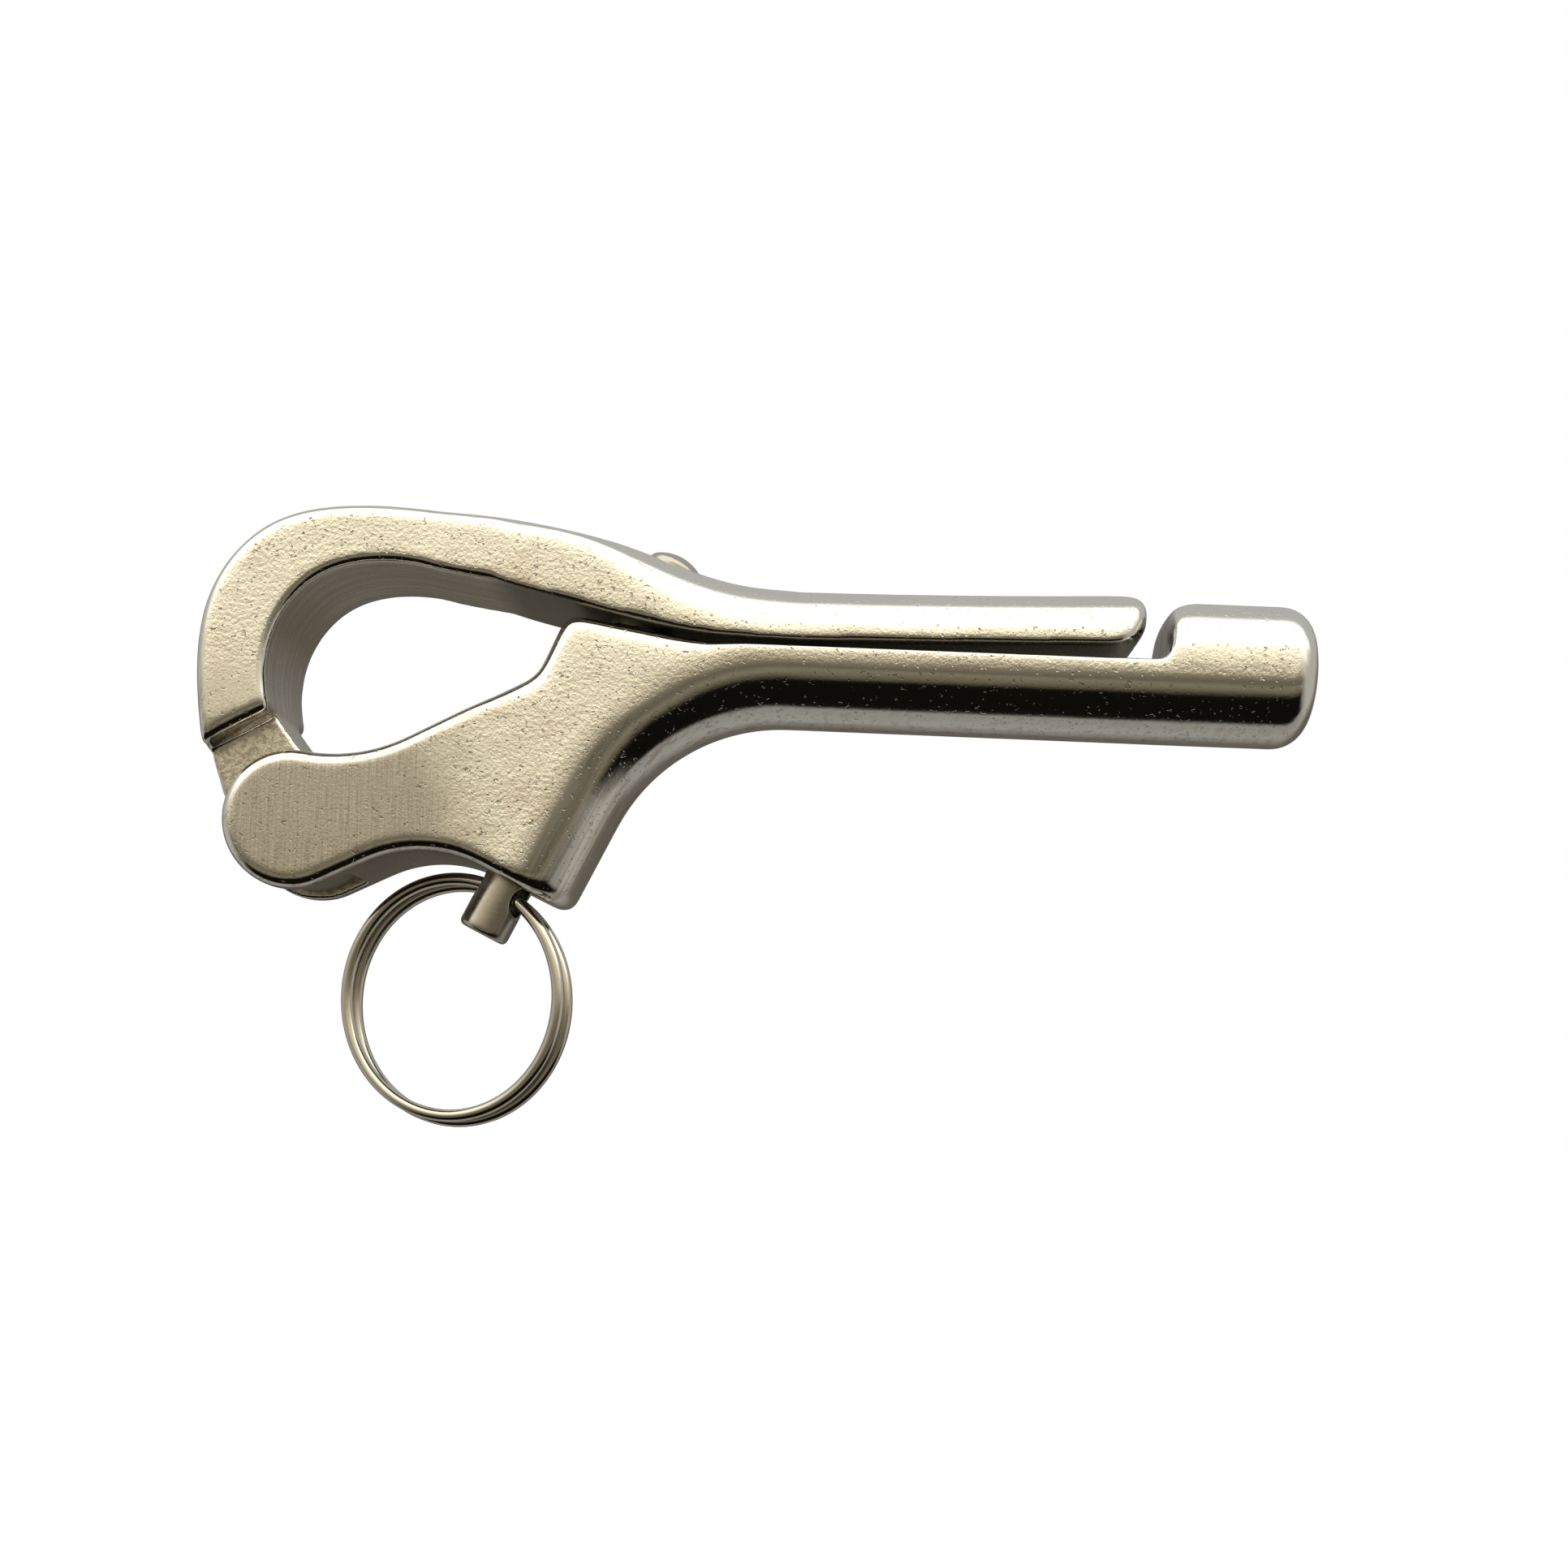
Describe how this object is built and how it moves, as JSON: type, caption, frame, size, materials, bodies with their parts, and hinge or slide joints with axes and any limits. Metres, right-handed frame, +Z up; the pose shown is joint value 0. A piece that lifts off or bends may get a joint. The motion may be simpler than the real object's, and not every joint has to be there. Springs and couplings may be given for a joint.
{
  "type": "snap shackle",
  "caption": "Cast steel pelican-hook snap shackle: a hooked lever pivots in a forked round shank and is locked by a spring plunger with a pull ring.",
  "frame": {"origin": "centre of the threaded hole's mouth in the end face of the shank", "axes": "+X out of the threaded hole along the shank, +Z up from the shank towards the lever, +Y across the fork"},
  "size_m": [0.1081, 0.0138, 0.0597],
  "materials": {
    "cast_steel": "warm cast stainless, fine grain on the flat sides, polished rounds",
    "pin_steel": "ground flush",
    "turned_steel": "turned, slightly dark",
    "spring_steel": "bright drawn wire",
    "ring_steel": "polished wire"
  },
  "bodies": {
    "body": {"shank_body": "cast_steel", "pivot_pin": "pin_steel", "plunger_spring": "spring_steel"},
    "lever": {"hook_lever": "cast_steel"},
    "plunger": {"lock_plunger": "turned_steel"},
    "ring": {"pull_ring": "ring_steel"}
  },
  "joints": [
    {"name": "lever_swing", "type": "hinge", "parent": "body", "child": "lever", "pos_m": [-0.09845, 0, -0.0182], "axis": [0, -1, 0], "range_deg": [0, 135]},
    {"name": "plunger_slide", "type": "slide", "parent": "body", "child": "plunger", "axis": [-0.4384, 0, -0.8988], "range_m": [0, 0.009], "stiffness_N_per_m": 1200, "springref_m": -0.004, "deforming": ["plunger_spring"]},
    {"name": "ring_swing", "type": "hinge", "parent": "plunger", "child": "ring", "pos_m": [-0.07879, 0, -0.02418], "axis": [0.864, -0.2756, -0.4214], "range_deg": [-35, 35]}
  ]
}
